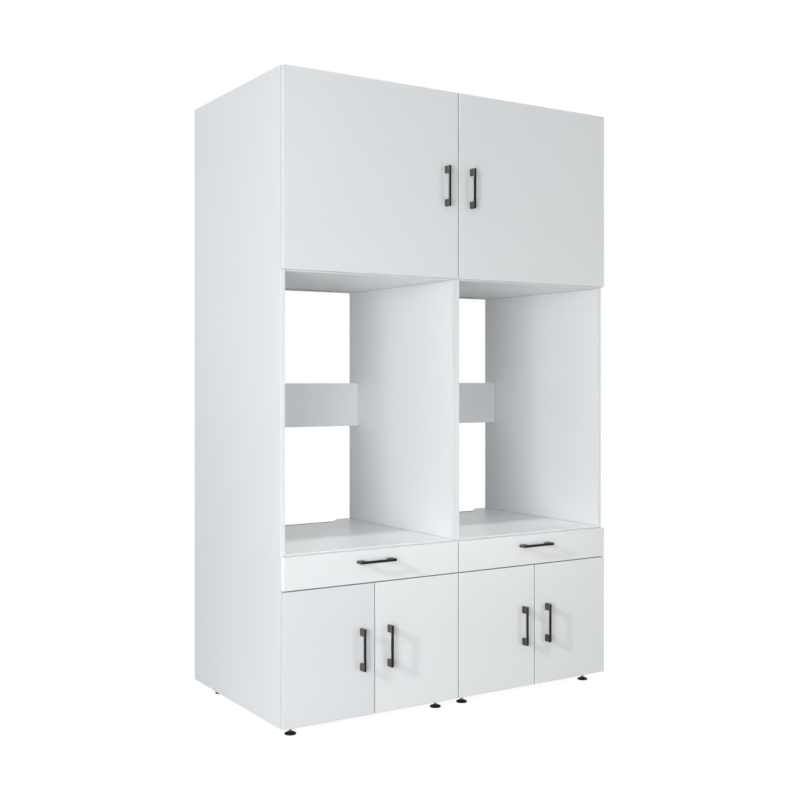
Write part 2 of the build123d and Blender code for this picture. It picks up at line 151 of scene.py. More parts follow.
def sky_glow(tree, direction, axis, strength):
    """Light from one side of the sky, fading smoothly to nothing at right angles to it."""
    facing = node(tree, "ShaderNodeVectorMath")
    facing.operation = "DOT_PRODUCT"
    facing.inputs[1].default_value = Vector(axis).normalized()
    tree.links.new(direction, facing.inputs[0])
    ahead = calculate(tree, "MAXIMUM", facing.outputs["Value"], 0.0)
    return calculate(tree, "MULTIPLY", calculate(tree, "POWER", ahead, 2.0), strength)


def make_world(glows, colour):
    """White to the eye and in reflections, and a soft light from a few sides."""
    world = bpy.data.worlds.new("studio")
    bpy.context.scene.world = world
    world.use_nodes = True
    tree = world.node_tree
    tree.nodes.clear()
    link = tree.links.new
    path = node(tree, "ShaderNodeLightPath")
    seen = calculate(tree, "MAXIMUM", path.outputs["Is Camera Ray"], path.outputs["Is Transmission Ray"])
    white_ray = calculate(tree, "MAXIMUM", seen, path.outputs["Is Glossy Ray"])
    direction = node(tree, "ShaderNodeTexCoord").outputs["Generated"]
    level = 0.0
    for axis, strength in glows:
        level = calculate(tree, "ADD", sky_glow(tree, direction, axis, strength), level)
    soft = node(tree, "ShaderNodeBackground", Color=(*colour, 1.0))
    link(level, soft.inputs["Strength"])
    white = node(tree, "ShaderNodeBackground", Color=(*WHITE_LIGHT, 1.0), Strength=1.0)
    mix = node(tree, "ShaderNodeMixShader")
    link(white_ray, mix.inputs["Fac"])
    link(soft.outputs[0], mix.inputs[1])
    link(white.outputs[0], mix.inputs[2])
    out = node(tree, "ShaderNodeOutputWorld")
    link(mix.outputs[0], out.inputs["Surface"])


def make_lamp(name, place, target, size, power, colour, receivers=None, glossy=False):
    """A square soft lamp aimed at a point, unseen by the camera and, unless asked, in reflections."""
    data = bpy.data.lights.new(name, "AREA")
    data.shape = "SQUARE"
    data.size = size
    data.energy = power
    data.color = colour
    lamp = bpy.data.objects.new(name, data)
    bpy.context.scene.collection.objects.link(lamp)
    lamp.location = place
    lamp.rotation_euler = (Vector(target) - Vector(place)).to_track_quat("-Z", "Y").to_euler()
    lamp.visible_camera = False
    lamp.visible_glossy = glossy
    if receivers is not None:
        lamp.light_linking.receiver_collection = receivers


def make_floor():
    """A pale floor that stays white to the camera except where the cabinet shades it."""
    reach, drop = 40.0, 0.4 * MM
    shaded, glowing, bounced = (0.38, 0.38, 0.38), 0.90, (0.75, 0.74, 0.72)
    mesh = bpy.data.meshes.new("studio_floor")
    form = bmesh.new()
    bmesh.ops.create_grid(form, x_segments=8, y_segments=8, size=reach)
    form.to_mesh(mesh)
    form.free()
    floor = bpy.data.objects.new("studio_floor", mesh)
    bpy.context.scene.collection.objects.link(floor)
    floor.location.z = FLOOR_Z - drop
    material = bpy.data.materials.new("studio_floor")
    material.use_nodes = True
    tree = material.node_tree
    tree.nodes.clear()
    link = tree.links.new
    path = node(tree, "ShaderNodeLightPath")
    lit = node(tree, "ShaderNodeBsdfDiffuse", Color=(*shaded, 1.0))
    glow = node(tree, "ShaderNodeEmission", Color=(*WHITE_LIGHT, 1.0), Strength=glowing)
    both = node(tree, "ShaderNodeAddShader")
    link(lit.outputs[0], both.inputs[0])
    link(glow.outputs[0], both.inputs[1])
    plain = node(tree, "ShaderNodeBsdfDiffuse", Color=(*bounced, 1.0))
    mix = node(tree, "ShaderNodeMixShader")
    link(path.outputs["Is Camera Ray"], mix.inputs["Fac"])
    link(plain.outputs[0], mix.inputs[1])
    link(both.outputs[0], mix.inputs[2])
    out = node(tree, "ShaderNodeOutputMaterial")
    link(mix.outputs[0], out.inputs["Surface"])
    mesh.materials.append(material)


# Materials


def start_material(name):
    """A new node material, with its tree, its surface shader and its coordinates."""
    material = bpy.data.materials.new(name)
    material.use_nodes = True
    tree = material.node_tree
    tree.nodes.clear()
    shader = node(tree, "ShaderNodeBsdfPrincipled")
    out = node(tree, "ShaderNodeOutputMaterial")
    tree.links.new(shader.outputs[0], out.inputs["Surface"])
    place = node(tree, "ShaderNodeTexCoord")
    return material, tree, shader, place.outputs["Object"]


def add_noise(tree, place, scale, detail=2.0, stretch=None):
    """Noise of a given fineness in cycles per metre, stretched along an axis if asked."""
    noise = node(tree, "ShaderNodeTexNoise", Scale=scale, Detail=detail)
    if stretch is not None:
        mapping = node(tree, "ShaderNodeMapping", Scale=stretch)
        tree.links.new(place, mapping.inputs["Vector"])
        place = mapping.outputs["Vector"]
    tree.links.new(place, noise.inputs["Vector"])
    return noise.outputs["Fac"]


def remap(tree, value, low, high, span=(0.3, 0.7)):
    """Spread a noise value over a range of results."""
    spread = node(tree, "ShaderNodeMapRange")
    spread.inputs["From Min"].default_value = span[0]
    spread.inputs["From Max"].default_value = span[1]
    spread.inputs["To Min"].default_value = low
    spread.inputs["To Max"].default_value = high
    tree.links.new(value, spread.inputs["Value"])
    return spread.outputs["Result"]


def mix_colours(tree, factor, first, second):
    """Blend two colours, each a tuple or a socket, by a factor socket."""
    first_socket, second_socket, result_socket = 6, 7, 2
    mix = node(tree, "ShaderNodeMix")
    mix.data_type = "RGBA"
    tree.links.new(factor, mix.inputs["Factor"])
    for number, colour in ((first_socket, first), (second_socket, second)):
        if isinstance(colour, tuple):
            mix.inputs[number].default_value = (*colour, 1.0)
        else:
            tree.links.new(colour, mix.inputs[number])
    return mix.outputs[result_socket]


def dim(colour, share):
    """A colour at a share of its strength."""
    return tuple(share * part for part in colour)


def add_bump(tree, shader, height, strength, depth):
    """Raise the surface by a height value, over a real depth in metres."""
    bump = node(tree, "ShaderNodeBump", Strength=strength, Distance=depth)
    tree.links.new(height, bump.inputs["Height"])
    tree.links.new(bump.outputs["Normal"], shader.inputs["Normal"])


def band_line(tree, place, joint_y):
    """One where the glue line of the front edge band runs, and nothing elsewhere."""
    core, rim = 0.06 * MM, 0.16 * MM
    split = node(tree, "ShaderNodeSeparateXYZ")
    tree.links.new(place, split.inputs[0])
    away = calculate(tree, "ABSOLUTE", calculate(tree, "SUBTRACT", split.outputs["Y"], joint_y), 0.0)
    return remap(tree, away, 1.0, 0.0, span=(core, rim))


def painted_gap_shade(tree, reach, shade):
    """Painted shade in narrow gaps, where another surface is very near: the given share there, fading to
    none in the open.
    """
    near = node(tree, "ShaderNodeAmbientOcclusion", Distance=reach)
    near.samples = 6
    return remap(tree, near.outputs["AO"], shade, 0.0, span=(0.25, 0.8))


def make_faced_board(name, colour, roughness, coat, band=None):
    """White faced board: a faint drift of tone, fine flecks, orange peel, handled patches and painted
    shade in narrow gaps.
    """
    drift_scale, fleck_scale, hand_scale, peel_scale = 2.6, 1900.0, 9.0, 310.0
    drift_shade, fleck_shade, seam_shade, seam_weight = 0.982, 0.955, 0.62, 0.55
    # Painted shade for narrow gaps: its grey, how near another surface must be, and how strongly it
    # darkens
    gap_shade_colour, gap_shade_reach, gap_shade_weight = (0.30, 0.29, 0.28), 6.0 * MM, 0.75
    material, tree, shader, place = start_material(name)
    drift = remap(tree, add_noise(tree, place, drift_scale), 0.0, 1.0)
    tone = mix_colours(tree, drift, colour, dim(colour, drift_shade))
    fine = add_noise(tree, place, fleck_scale, detail=3.0)
    flecks = remap(tree, fine, 0.0, 0.45, span=(0.45, 0.75))
    tone = mix_colours(tree, flecks, tone, dim(colour, fleck_shade))
    if band is not None:
        seam = calculate(tree, "MULTIPLY", band_line(tree, place, band), seam_weight)
        tone = mix_colours(tree, seam, tone, dim(colour, seam_shade))
    # Painted shade: the board turns towards a grey wherever another surface is near, darkening the gaps
    # between doors and boards
    tone = mix_colours(tree, painted_gap_shade(tree, gap_shade_reach, gap_shade_weight), tone, gap_shade_colour)
    tree.links.new(tone, shader.inputs["Base Color"])
    handled = remap(tree, add_noise(tree, place, hand_scale, detail=3.0), -0.035, 0.045)
    pores = remap(tree, fine, roughness - 0.02, roughness + 0.03)
    tree.links.new(calculate(tree, "ADD", handled, pores), shader.inputs["Roughness"])
    peel = add_noise(tree, place, peel_scale, detail=1.0)
    relief = calculate(tree, "ADD", peel, calculate(tree, "MULTIPLY", fine, 0.12))
    add_bump(tree, shader, relief, 0.10, 0.2 * MM)
    shader.inputs["Coat Weight"].default_value = coat
    shader.inputs["Coat Roughness"].default_value = 0.14
    return material


def make_hardboard(name):
    """Painted hardboard with the small pressed dimples of its smooth face."""
    fibre_scale, cloud_scale, cloud_weight = 420.0, 7.0, 0.3
    paint, dimple, stain = (0.81, 0.81, 0.80), (0.77, 0.765, 0.75), (0.73, 0.725, 0.71)
    material, tree, shader, place = start_material(name)
    fibre = add_noise(tree, place, fibre_scale, detail=6.0)
    cloudy = remap(tree, add_noise(tree, place, cloud_scale), 0.0, 1.0)
    tone = mix_colours(tree, remap(tree, fibre, 0.0, 1.0), paint, dimple)
    tone = mix_colours(tree, calculate(tree, "MULTIPLY", cloudy, cloud_weight), tone, stain)
    tree.links.new(tone, shader.inputs["Base Color"])
    tree.links.new(remap(tree, fibre, 0.52, 0.66), shader.inputs["Roughness"])
    add_bump(tree, shader, fibre, 0.25, 0.2 * MM)
    return material


def edge_wear(tree, reach):
    """One along sharp edges and nothing on flat faces, from how far a rounded normal turns."""
    rounded = node(tree, "ShaderNodeBevel", Radius=reach)
    rounded.samples = 6
    true = node(tree, "ShaderNodeNewGeometry")
    agree = node(tree, "ShaderNodeVectorMath")
    agree.operation = "DOT_PRODUCT"
    tree.links.new(rounded.outputs["Normal"], agree.inputs[0])
    tree.links.new(true.outputs["True Normal"], agree.inputs[1])
    return remap(tree, agree.outputs["Value"], 1.0, 0.0, span=(0.80, 0.97))


def make_black_metal(name):
    """Satin black lacquer over metal, with a fine grain and rubbed, greyer corners."""
    grain_scale, patch_scale, wear_reach = 2600.0, 60.0, 0.5 * MM
    black, faded, rubbed = (0.013, 0.0125, 0.012), (0.019, 0.018, 0.017), (0.060, 0.057, 0.053)
    material, tree, shader, place = start_material(name)
    grain = add_noise(tree, place, grain_scale, detail=2.0)
    patch = add_noise(tree, place, patch_scale, detail=3.0)
    tone = mix_colours(tree, remap(tree, patch, 0.0, 1.0), black, faded)
    worn = calculate(tree, "MULTIPLY", edge_wear(tree, wear_reach), remap(tree, patch, 0.3, 1.0))
    tone = mix_colours(tree, worn, tone, rubbed)
    tree.links.new(tone, shader.inputs["Base Color"])
    tree.links.new(remap(tree, grain, 0.40, 0.54), shader.inputs["Roughness"])
    add_bump(tree, shader, grain, 0.18, 0.05 * MM)
    shader.inputs["Specular IOR Level"].default_value = 0.12
    return material


def make_moulded_plastic(name, dark, light, fineness):
    """Moulded plastic with a fine spark finish and rubbed patches."""
    patch_scale = 70.0
    material, tree, shader, place = start_material(name)
    spark = add_noise(tree, place, fineness, detail=4.0)
    rubbed = add_noise(tree, place, patch_scale, detail=2.0)
    tone = mix_colours(tree, remap(tree, rubbed, 0.0, 1.0), dark, light)
    tree.links.new(tone, shader.inputs["Base Color"])
    tree.links.new(remap(tree, spark, 0.38, 0.58), shader.inputs["Roughness"])
    add_bump(tree, shader, spark, 0.3, 0.1 * MM)
    shader.inputs["Specular IOR Level"].default_value = 0.35
    return material


def make_plated_steel(name, colour, dull, roughness, stretch):
    """Plated steel with fine drawn lines and cloudy, uneven plating."""
    line_scale, cloud_scale = 900.0, 90.0
    material, tree, shader, place = start_material(name)
    lines = add_noise(tree, place, line_scale, detail=3.0, stretch=stretch)
    clouds = add_noise(tree, place, cloud_scale, detail=4.0)
    tone = mix_colours(tree, remap(tree, clouds, 0.0, 1.0), colour, dull)
    tree.links.new(tone, shader.inputs["Base Color"])
    tree.links.new(remap(tree, lines, roughness - 0.07, roughness + 0.10), shader.inputs["Roughness"])
    add_bump(tree, shader, lines, 0.15, 0.05 * MM)
    shader.inputs["Metallic"].default_value = 1.0
    return material


EDGE_BAND = 1.0 * MM
EASED_SLOTS = ("white_board", "white_front", "black_metal")
EASE_WIDTH = 0.35 * MM
SHARP = math.radians(25)
CRISP = math.radians(35)
BOARD_WHITE = (0.880, 0.892, 0.900)
FRONT_WHITE = (0.825, 0.833, 0.842)
BLACK_PLASTIC = ((0.012, 0.012, 0.013), (0.022, 0.022, 0.023))
ZINC = ((0.60, 0.61, 0.63), (0.46, 0.47, 0.49))
NICKEL = ((0.66, 0.64, 0.61), (0.52, 0.50, 0.47))
DRAWN_ALONG_Y = (1.0, 0.05, 1.0)
DRAWN_ALONG_Z = (1.0, 1.0, 0.08)
MATERIALS = {
    "white_board": make_faced_board("faced_board", BOARD_WHITE, 0.38, 0.0, FRONT_EDGE + EDGE_BAND),
    "white_front": make_faced_board("satin_front", FRONT_WHITE, 0.31, 0.25),
    "white_backing": make_hardboard("painted_hardboard"),
    "black_metal": make_black_metal("satin_black"),
    "foot_plastic": make_moulded_plastic("moulded_black", *BLACK_PLASTIC, 1800.0),
    "zinc_steel": make_plated_steel("zinc_plate", *ZINC, 0.30, DRAWN_ALONG_Y),
    "nickel_steel": make_plated_steel("nickel_plate", *NICKEL, 0.24, DRAWN_ALONG_Z),
}


def dress_nodes():
    """Give every CAD node its material, and boards and metal an eased edge."""
    for part in RECORD["subparts"]:
        thing = NODES[part["node"]]
        slot = part["material_slot"]
        thing.data.materials.clear()
        thing.data.materials.append(MATERIALS[slot])
        if slot in EASED_SLOTS:
            ease = thing.modifiers.new("ease", "BEVEL")
            ease.width = EASE_WIDTH
            ease.segments = 2
            ease.limit_method = "ANGLE"
            ease.angle_limit = SHARP


# Building blocks

# A shape is a list of points and a list of faces, in millimetres, with Z as its axis.


def turned(profile, segments, crown=True):
    """Turn a profile of (radius, height) points round the Z axis."""
    points, rings, faces = [], [], []
    for radius, height in profile:
        count = segments if radius > TINY else 1
        rings.append([len(points) + step for step in range(count)])
        for step in range(count):
            angle = 2 * math.pi * step / segments
            points.append((radius * math.cos(angle), radius * math.sin(angle), height))
    for lower, upper in zip(rings, rings[1:]):
        for step in range(segments):
            after = step + 1
            corners = [lower[step % len(lower)], lower[after % len(lower)],
                       upper[after % len(upper)], upper[step % len(upper)]]
            faces.append(tuple(dict.fromkeys(corners)))
    if crown and len(rings[-1]) > 1:
        faces.append(tuple(rings[-1]))
    return points, faces


def shape_of(form):
    """The points and faces of a finished bmesh, which is then freed."""
    form.verts.index_update()
    shape = [tuple(v.co) for v in form.verts], [tuple(v.index for v in f.verts) for f in form.faces]
    form.free()
    return shape


def prism(outline, low, high, ease=0.0):
    """Extrude an outline of (x, y) points along Z, with its two rims eased by a small bevel."""
    form = bmesh.new()
    bottom = [form.verts.new((x, y, low)) for x, y in outline]
    face = form.faces.new(bottom)
    raised = bmesh.ops.extrude_face_region(form, geom=[face])["geom"]
    top = [item for item in raised if isinstance(item, bmesh.types.BMVert)]
    bmesh.ops.translate(form, verts=top, vec=(0.0, 0.0, high - low))
    bmesh.ops.recalc_face_normals(form, faces=form.faces)
    if ease:
        rims = [e for e in form.edges if abs(e.verts[0].co.z - e.verts[1].co.z) < TINY]
        bmesh.ops.bevel(form, geom=rims, offset=ease, segments=2, affect="EDGES", profile=0.5)
    return shape_of(form)


def screw_head(profile, segments, reach, half, depth):
    """A screw head turned from a profile, with a real cross recess sunk in its flat crown."""
    taper = 0.8
    form = bmesh.new()
    points, faces = turned(profile, segments, crown=False)
    verts = [form.verts.new(point) for point in points]
    for face in faces:
        form.faces.new([verts[k] for k in face])
    crown = verts[-segments:]
    height = profile[-1][1]
    arm = [(reach, -half), (reach, half), (half, half)]
    cross = []
    for quarter in range(4):
        cosine, sine = round(math.cos(quarter * math.pi / 2)), round(math.sin(quarter * math.pi / 2))
        cross += [(x * cosine - y * sine, x * sine + y * cosine) for x, y in arm]
    mouth = [form.verts.new((x, y, height)) for x, y in cross]
    floor = [form.verts.new((x * taper, y * taper, height - depth)) for x, y in cross]
    rim = [form.edges.get((a, b)) for a, b in zip(crown, crown[1:] + crown[:1])]
    rim = [edge or form.edges.new(pair) for edge, pair in zip(rim, zip(crown, crown[1:] + crown[:1]))]
    inner = [form.edges.new(pair) for pair in zip(mouth, mouth[1:] + mouth[:1])]
    bmesh.ops.triangle_fill(form, use_beauty=True, use_dissolve=False, edges=rim + inner)
    for k in range(len(cross)):
        after = (k + 1) % len(cross)
        form.faces.new((mouth[k], mouth[after], floor[after], floor[k]))
    form.faces.new(floor)
    return shape_of(form)


def aim(origin, out, turn=0.0):
    """Where a shape goes: its origin at a point, its Z axis along a direction, and turned.

    Screws are given turns that differ from one to the next, as hands leave them.
    """
    heading = Vector(out).to_track_quat("Z", "Y").to_matrix().to_4x4()
    return Matrix.Translation(origin) @ heading @ Matrix.Rotation(turn, 4, "Z")


def gather(placed):
    """Join placed shapes, each (shape, matrix), into one list of points and faces, in metres."""
    points, faces = [], []
    for (shape_points, shape_faces), matrix in placed:
        start = len(points)
        points += [matrix @ (Vector(point) * MM) for point in shape_points]
        faces += [tuple(start + k for k in face) for face in shape_faces]
    return points, faces


def add_piece(name, placed, slot, body, replaced=()):
    """Make placed shapes into a piece that rides on a body, smooth but for its sharper edges."""
    points, faces = gather(placed)
    form = bmesh.new()
    verts = [form.verts.new(point) for point in points]
    for face in faces:
        form.faces.new([verts[k] for k in face])
    bmesh.ops.recalc_face_normals(form, faces=form.faces)
    for face in form.faces:
        face.smooth = True
    for edge in form.edges:
        edge.smooth = len(edge.link_faces) == 2 and edge.calc_face_angle(0.0) < CRISP
    mesh = bpy.data.meshes.new(name)
    form.to_mesh(mesh)
    form.free()
    mesh.materials.append(MATERIALS[slot])
    piece = bpy.data.objects.new(name, mesh)
    bpy.context.scene.collection.objects.link(piece)
    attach(piece, body)
    if replaced:
        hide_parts(*replaced)


def clusters(name, reach):
    """Boxes of the separate solids of a node, none of them wider than the reach."""
    groups = []
    for vertex in NODES[name].data.vertices:
        for group in groups:
            if (group[0] - vertex.co).length < reach:
                group.append(vertex.co.copy())
                break
        else:
            groups.append([vertex.co.copy()])
    boxes = []
    for group in groups:
        low = Vector([min(point[axis] for point in group) for axis in range(3)])
        high = Vector([max(point[axis] for point in group) for axis in range(3)])
        boxes.append((low, high))
    return boxes


# Screw heads and other small fittings, as (radius, height) profiles in millimetres

PAN_HEAD = screw_head([(3.9, 0.0), (3.9, 0.5), (3.6, 1.2), (2.9, 1.7), (2.3, 1.85)], 18, 1.9, 0.42, 1.3)
LOW_HEAD = screw_head([(3.4, 0.0), (3.4, 0.2), (3.0, 0.6), (2.5, 0.8)], 18, 1.9, 0.42, 0.7)
HANDLE_HEAD = screw_head([(4.6, 0.0), (4.6, 0.4), (4.2, 1.2), (3.3, 1.8), (2.6, 2.0)], 20, 2.2, 0.5, 1.5)
ADJUSTER = screw_head([(3.1, 0.0), (3.1, 0.6), (2.9, 0.85)], 16, 2.1, 0.5, 0.75)
CAM_LOCK = screw_head([(7.5, 0.0), (7.5, 0.35), (7.15, 0.6), (6.9, 0.6)], 26, 4.4, 0.9, 0.5)
JOINING_HEAD = screw_head([(7.4, 0.0), (7.4, 0.9), (7.0, 1.5), (5.4, 2.1), (4.2, 2.2)],
                          22, 3.3, 0.75, 1.6)
NAIL_HEAD = turned([(2.3, 0.0), (2.3, 0.3), (2.05, 0.5), (0.0, 0.56)], 10)
BUMPER = turned([(2.9, 0.0), (2.9, 0.35), (2.6, 1.0), (1.9, 1.45), (1.0, 1.6), (0.0, 1.62)], 16)


def hinge_frames():
    """Each hinge as (door body, hinged edge, way along the door, height)."""
    ear_half = 29.0 * MM
    found = []
    for door in DOORS:
        low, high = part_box(door + "_panel")
        cups_low, cups_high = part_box(door + "_cups")
        on_left = cups_low.x - low.x < high.x - cups_high.x
        edge, towards = (low.x, 1) if on_left else (high.x, -1)
        for height in (cups_low.z + ear_half, cups_high.z - ear_half):
            found.append((door, edge, towards, height))
    return found


def make_hinge_screws():
    """Two screws in each cup's ears, two in each mounting plate, and two adjusters on each arm."""
    ear_along, ear_rise = 32.0 * MM, 24.0 * MM
    flange = 1.0 * MM
    plate_face, plate_depth, wing_rise = 17.0 * MM, 41.0 * MM, 17.5 * MM
    arm_face, adjuster_depths = 25.4 * MM, (28.0 * MM, 55.0 * MM)
    on_carcass = []
    on_doors = {door: [] for door in DOORS}
    for count, (door, edge, towards, height) in enumerate(hinge_frames()):
        out = ACROSS * towards
        for side in (-1, 1):
            turn = 0.7 * count + side
            ear = Vector((edge + towards * ear_along, DOOR_BACK + flange, height + side * ear_rise))
            wing = Vector((edge + towards * plate_face, DOOR_BACK + plate_depth,
                           height + side * wing_rise))
            on_doors[door].append((PAN_HEAD, aim(ear, INTO, turn)))
            on_carcass.append((PAN_HEAD, aim(wing, out, 1.7 * turn)))
        for k, depth in enumerate(adjuster_depths):
            spot = Vector((edge + towards * arm_face, DOOR_BACK + depth, height))
            on_carcass.append((ADJUSTER, aim(spot, out, 0.5 * count + k)))
    for door, placed in on_doors.items():
        add_piece(door + "_cup_screws", placed, "nickel_steel", door)
    add_piece("hinge_plate_screws", on_carcass, "nickel_steel", "carcass")


def make_handle_screws():
    """The two machine screws of each handle, seen on the back of its door or drawer front."""
    post_half = 11.5 * MM
    for name in NODES:
        if not name.endswith("_handle"):
            continue
        low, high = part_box(name)
        middle = (low + high) / 2
        upright = high.z - low.z > high.x - low.x
        along = UP if upright else ACROSS
        reach = (high - low).dot(along) / 2 - post_half
        placed = []
        for side in (-1, 1):
            spot = Vector((middle.x, DOOR_BACK, middle.z)) + along * side * reach
            placed.append((HANDLE_HEAD, aim(spot, INTO, 0.9 * side + middle.x * 7)))
        add_piece(name + "_screws", placed, "zinc_steel", BODY_OF[name])


def make_bumpers():
    """Small soft stops at the free corners of the doors and all corners of the drawer fronts."""
    along, rise = 8.0 * MM, 4.0 * MM
    for door, _, towards, _ in hinge_frames()[::2]:
        low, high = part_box(door + "_panel")
        free = high.x - along if towards > 0 else low.x + along
        spots = [Vector((free, DOOR_BACK, z)) for z in (low.z + rise, high.z - rise)]
        add_piece(door + "_bumpers", [(BUMPER, aim(s, INTO)) for s in spots], "foot_plastic", door)
    for tower in TOWERS:
        low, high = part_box(tower + "_drawer_front")
        spots = [Vector((x, DOOR_BACK, z)) for x in (low.x + along, high.x - along)
                 for z in (low.z + rise, high.z - rise)]
        add_piece(tower + "_drawer_bumpers", [(BUMPER, aim(s, INTO)) for s in spots], "foot_plastic",
                  tower + "_drawer")


def inner_faces(tower):
    """The two inner faces of a tower's sides, each with the way into the tower."""
    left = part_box(tower + "_tower_left_side")[1].x
    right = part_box(tower + "_tower_right_side")[0].x
    return (left, 1), (right, -1)


def make_cam_locks():
    """The cams that draw each horizontal board and rail up to the sides."""
    inset, front, rear = 24.0 * MM, 58.0 * MM, 92.0 * MM
    rail_rise = 34.0 * MM
    placed = []
    boards = (("top_panel", -1), ("bay_ceiling", 1), ("bay_floor", -1),
              ("drawer_divider", -1), ("bottom_panel", -1))
    for tower in TOWERS:
        for face_x, inward in inner_faces(tower):
            x = face_x + inward * inset
            for board, way in boards:
                low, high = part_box(tower + "_" + board)
                z = high.z if way > 0 else low.z
                for y in (FRONT_EDGE + front, BACK_EDGE - rear):
                    placed.append((CAM_LOCK, aim(Vector((x, y, z)), UP * way, 40 * x + 9 * y)))
            rail_low, rail_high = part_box("back_rails")
            for z in (rail_low.z + rail_rise, rail_high.z - rail_rise):
                placed.append((CAM_LOCK, aim(Vector((x, rail_high.y, z)), INTO, 31 * z + x)))
    add_piece("cam_locks", placed, "zinc_steel", "carcass")


def make_joining_bolts():
    """The flat headed bolts that hold the two towers together, inside the cupboards."""
    front, lower_front, rear = 52.0 * MM, 130.0 * MM, 110.0 * MM
    above_ceiling, below_top = 0.07, 0.09
    heights = (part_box("left_bay_ceiling")[1].z + above_ceiling, TOP - below_top)
    upper = [(y, z) for y in (FRONT_EDGE + front, BACK_EDGE - rear) for z in heights]
    lower_z = (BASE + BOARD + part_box("left_drawer_divider")[0].z) / 2
    lower = [(y, lower_z) for y in (FRONT_EDGE + lower_front, BACK_EDGE - rear)]
    faces = ((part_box("left_tower_right_side")[0].x, -1), (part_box("right_tower_left_side")[1].x, 1))
    placed = [(JOINING_HEAD, aim(Vector((x, y, z)), ACROSS * way, 17 * z + y))
              for x, way in faces for y, z in upper + lower]
    add_piece("joining_bolts", placed, "zinc_steel", "carcass")


def even_row(start, end, spacing):
    """Evenly spaced places from one end of a row to the other."""
    count = max(2, round((end - start) / spacing) + 1)
    return [start + (end - start) * k / (count - 1) for k in range(count)]


def make_back_sheets():
    """Thin back sheets with eased edges, nailed all round into the boards they cover."""
    head = 0.56 * MM
    margin = 7.0 * MM
    upright_spacing, level_spacing = 0.13, 0.15
    rim = 0.3
    nails = []
    for name in ("upper_back_sheets", "lower_back_sheets"):
        low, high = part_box(name)
        sheets = []
        for tower in TOWERS:
            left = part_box(tower + "_tower_left_side")[0].x
            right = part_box(tower + "_tower_right_side")[1].x
            reveal = low.x - cad_low.x
            x0, x1 = left + reveal, right - reveal
            corners = ((x0, low.z), (x1, low.z), (x1, high.z), (x0, high.z))
            outline = [(x / MM, z / MM) for x, z in corners]
            sheet = prism(outline, -(high.y - head) / MM, -low.y / MM, ease=rim)
            sheets.append((sheet, Matrix.Rotation(math.pi / 2, 4, "X")))
            rows = [(x, z) for x in (x0 + margin, x1 - margin)
                    for z in even_row(low.z + margin, high.z - margin, upright_spacing)]
            rows += [(x, z) for z in (low.z + margin, high.z - margin)
                     for x in even_row(x0 + margin, x1 - margin, level_spacing)[1:-1]]
            nails += [(NAIL_HEAD, aim(Vector((x, high.y - head, z)), INTO)) for x, z in rows]
        add_piece(name + "_eased", sheets, "white_backing", "carcass", (name,))
    add_piece("back_sheet_nails", nails, "zinc_steel", "carcass")


def make_shelf_pins():
    """Spoon pins: a collared stem in the side and a flat seat under the shelf."""
    collar, seat_thickness, seat_rim = 3.4, 1.4, 0.2
    touching = 0.2 * MM
    stem = turned([(0.0, 0.0), (collar, 0.0), (collar, 0.9), (2.4, 1.2), (2.4, 7.0),
                   (2.0, 7.4), (0.0, 7.4)], 16)
    left_faces = [inner_faces(tower)[0][0] for tower in TOWERS]
    placed = []
    for low, high in clusters("shelf_supports", 20.0 * MM):
        middle = (low + high) / 2
        on_left = any(abs(low.x - face_x) < touching for face_x in left_faces)
        inward, face_x = (1, low.x) if on_left else (-1, high.x)
        stem_z = low.z + collar * MM
        placed.append((stem, aim(Vector((face_x, middle.y, stem_z)), ACROSS * inward)))
        reach, half = (high.x - low.x) / MM, (high.y - low.y) / 2 / MM
        edge = [(0.9, half * 0.6), (reach - 2.5, half), (reach - 0.7, half * 0.75), (reach, half * 0.4)]
        seat = [(x, -y) for x, y in edge] + edge[::-1]
        plate = prism([(x * inward, y) for x, y in seat], -seat_thickness, 0.0, ease=seat_rim)
        placed.append((plate, Matrix.Translation((face_x, middle.y, high.z))))
    add_piece("shelf_pins", placed, "nickel_steel", "carcass", ("shelf_supports",))


def make_feet():
    """Levelling feet: a black pad with a conical hub, a threaded stud, a nut and a flange."""
    pad = turned([
        (0.0, 0.0), (16.6, 0.0), (17.8, 0.4), (18.25, 1.3), (18.2, 3.2), (17.8, 4.1), (17.0, 4.5),
        (15.8, 4.3), (13.2, 4.3), (11.0, 4.8), (9.6, 6.0), (8.8, 7.6), (8.2, 8.8), (7.5, 9.3),
        (5.4, 9.4), (5.2, 8.6), (0.0, 8.5),
    ], 44)
    end, crest, root, pitch = 3.6, 4.0, 3.45, 1.0
    stud_base, thread_base, nut_base, stud_top = 8.4, 8.8, 23.6, 24.4
    thread = [(0.0, stud_base), (end, stud_base)]
    height = thread_base
    while height < nut_base:
        thread += [(crest, height), (root, height + pitch / 2)]
        height += pitch
    thread += [(end, stud_top), (0.0, stud_top)]
    stud = turned(thread, 24)
    flange_top, nut_half, flange_radius = BASE / MM, 6.7, 10.6
    nut_top = flange_top - 1.4
    nut = turned([(0.0, nut_base), (6.0, nut_base), (nut_half, nut_base + 0.6), (nut_half, nut_top),
                  (0.0, nut_top)], 6)
    flange = turned([(0.0, nut_top), (10.2, nut_top), (flange_radius, nut_top + 0.3),
                     (flange_radius, flange_top), (0.0, flange_top)], 28)
    pads, studs = [], []
    for low, high in clusters("foot_pads", 45.0 * MM):
        centre = Vector(((low.x + high.x) / 2, (low.y + high.y) / 2, FLOOR_Z))
        pads.append((pad, Matrix.Translation(centre)))
        turn = Matrix.Rotation(3.0 * centre.x + centre.y, 4, "Z")
        studs += [(shape, Matrix.Translation(centre) @ turn) for shape in (stud, nut, flange)]
    add_piece("foot_pads_moulded", pads, "foot_plastic", "carcass", ("foot_pads",))
    add_piece("foot_studs_threaded", studs, "zinc_steel", "carcass", ("foot_studs",))


